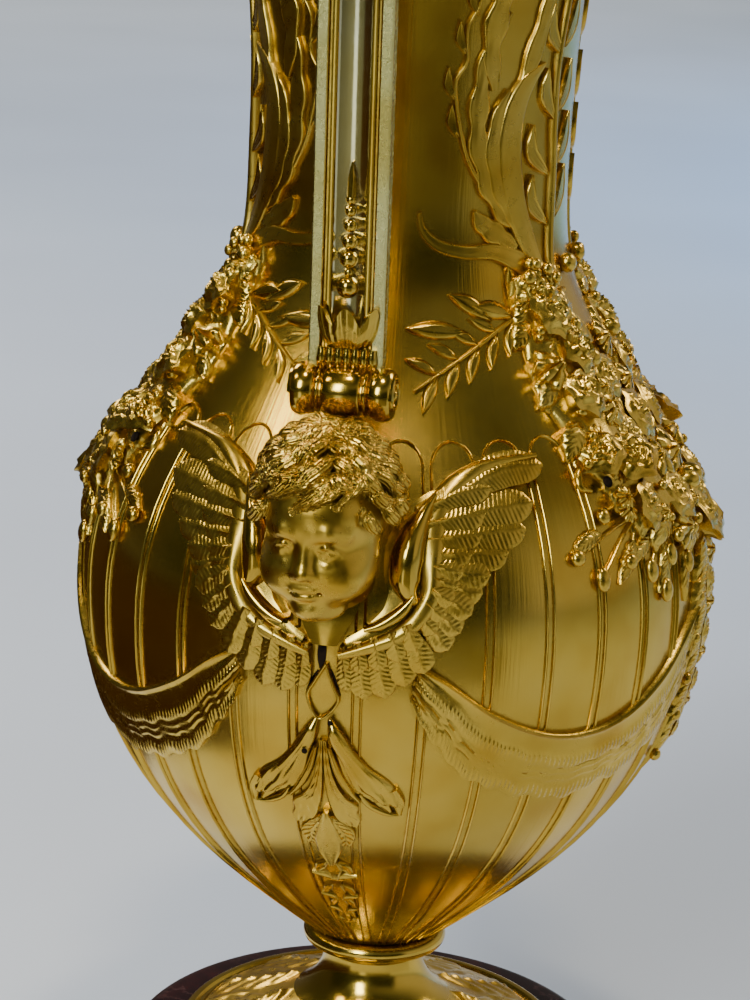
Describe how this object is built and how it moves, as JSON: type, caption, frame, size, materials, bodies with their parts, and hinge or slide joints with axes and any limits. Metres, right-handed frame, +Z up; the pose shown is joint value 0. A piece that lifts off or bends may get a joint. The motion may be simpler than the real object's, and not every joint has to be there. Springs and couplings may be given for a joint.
{
  "type": "two-handled vase",
  "caption": "Gilt-bronze ovoid vase with strap handles, winged cherub heads, flower garlands and cloth swags on a round marble plinth.",
  "frame": {"origin": "centre of the underside of the plinth", "axes": "+Z up along the vase axis, handles on -Y and +Y, main faces on -X and +X"},
  "size_m": [0.1706, 0.2104, 0.372],
  "materials": {
    "gilt": "chased gilt bronze, satin grounds with burnished edges and brown dirt in the hollows",
    "marble": "dark red marble, polished"
  },
  "bodies": {
    "root": {"marble_plinth": "marble", "foot": "gilt", "vase": "gilt", "cherub_front": "gilt", "cherub_back": "gilt", "handle_front": "gilt", "handle_back": "gilt"}
  },
  "joints": []
}
